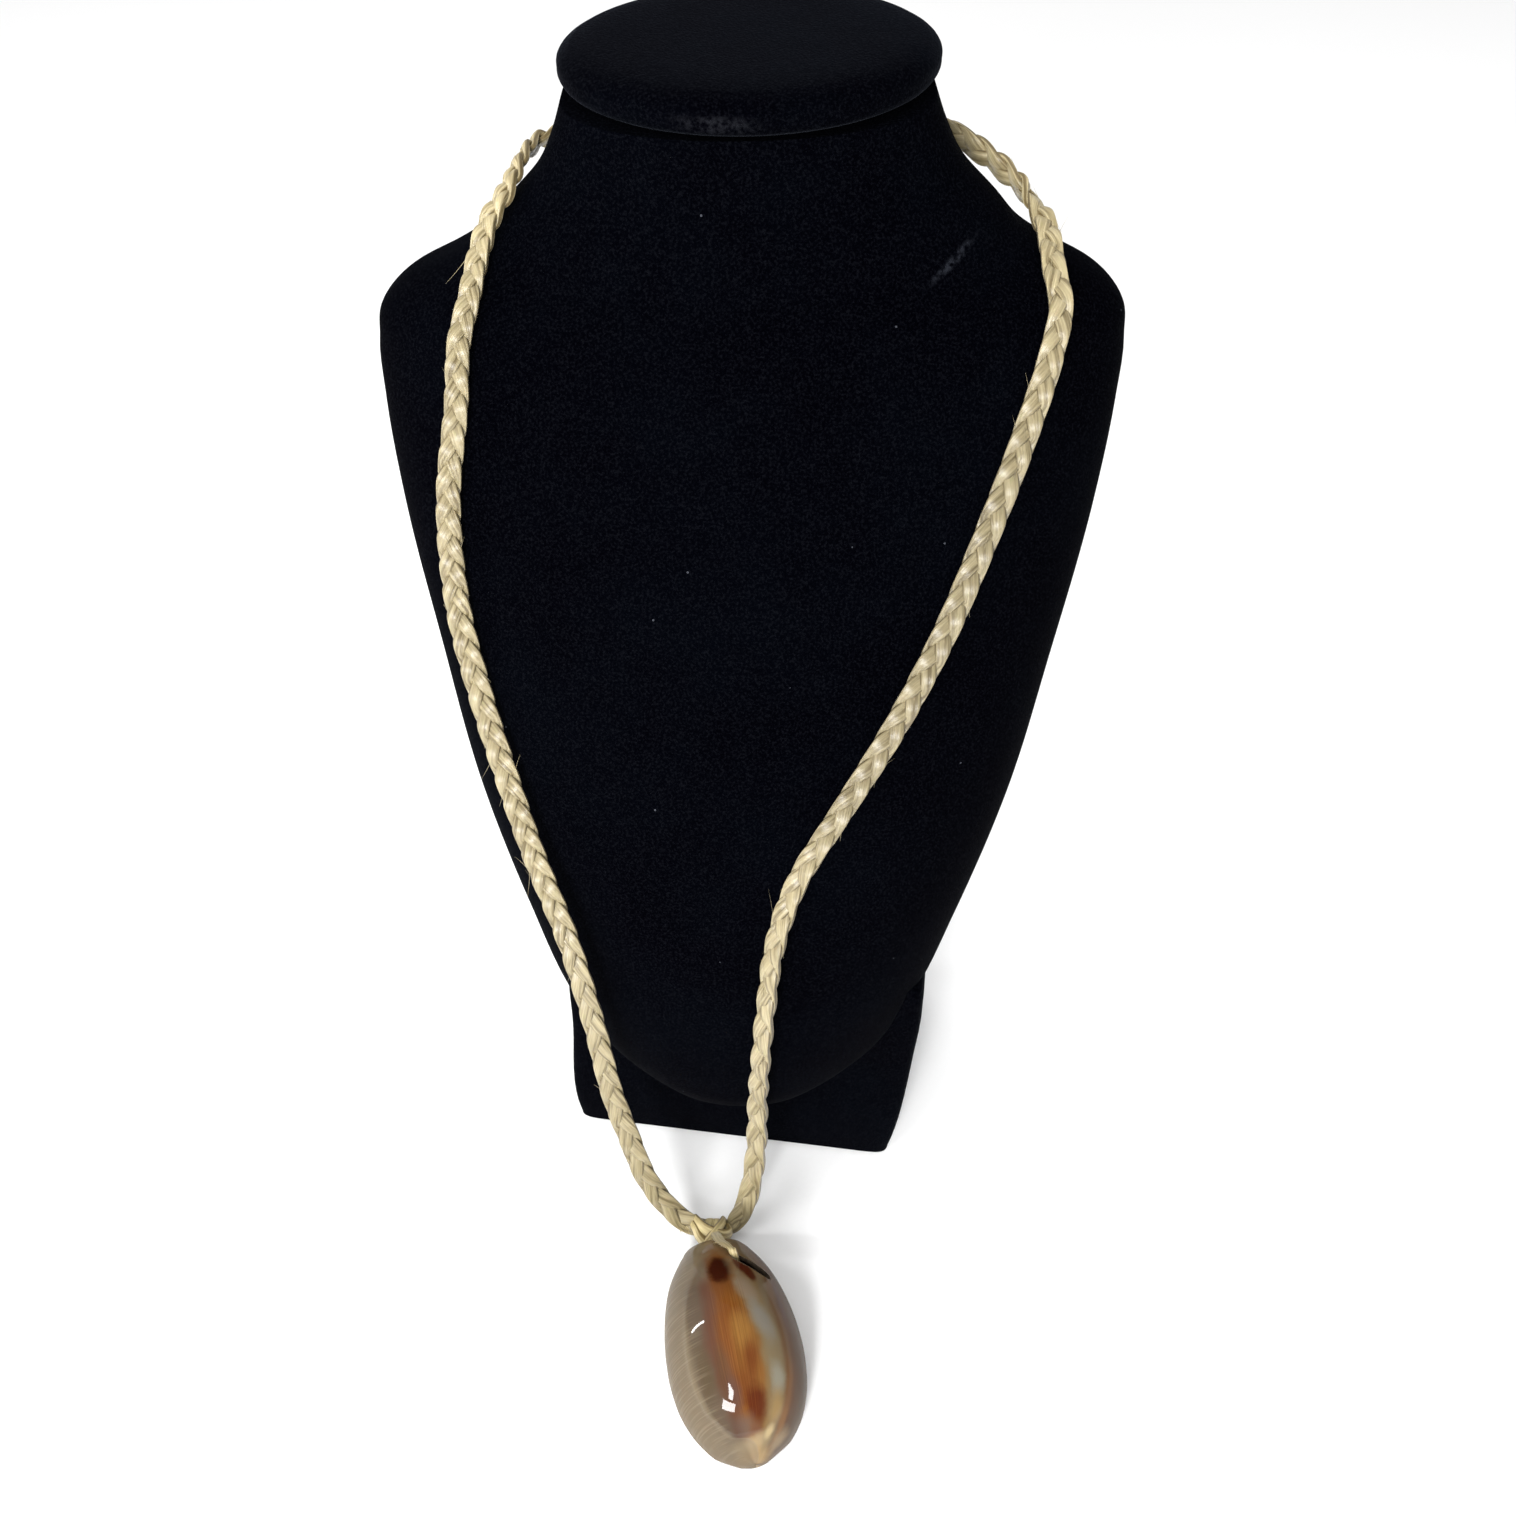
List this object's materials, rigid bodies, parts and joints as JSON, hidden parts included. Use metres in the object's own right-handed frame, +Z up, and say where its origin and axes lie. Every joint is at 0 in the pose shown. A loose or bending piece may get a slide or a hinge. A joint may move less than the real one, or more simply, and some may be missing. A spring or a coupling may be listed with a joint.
{
  "type": "cowrie shell necklace on a neck bust",
  "caption": "Plaited raffia cord necklace with a large polished cowrie shell lashed to its lower end, laid over a plain velvet neck bust that displays it",
  "frame": {"origin": "On the underside of the block, straight below the middle of the neck bust's width", "axes": "+Z is up. The front of the bust, the chest and the shell face -Y. +X is to the right as seen from the front."},
  "size_m": [0.199, 0.2376, 0.3435],
  "materials": {
    "form_velvet": "black velvet",
    "cap_velvet": "black velvet, padded",
    "block_velvet": "black velvet",
    "plait_raffia": "satin raffia",
    "lashing_raffia": "satin raffia",
    "tie_raffia": "satin raffia",
    "cowrie": "glossy shell"
  },
  "bodies": {
    "root": {"bust_form": "form_velvet", "neck_cap": "cap_velvet", "stand_base": "block_velvet", "strand_1": "plait_raffia", "strand_2": "plait_raffia", "strand_3": "plait_raffia", "lashing": "lashing_raffia", "shell_tie": "tie_raffia", "shell": "cowrie"}
  },
  "joints": []
}
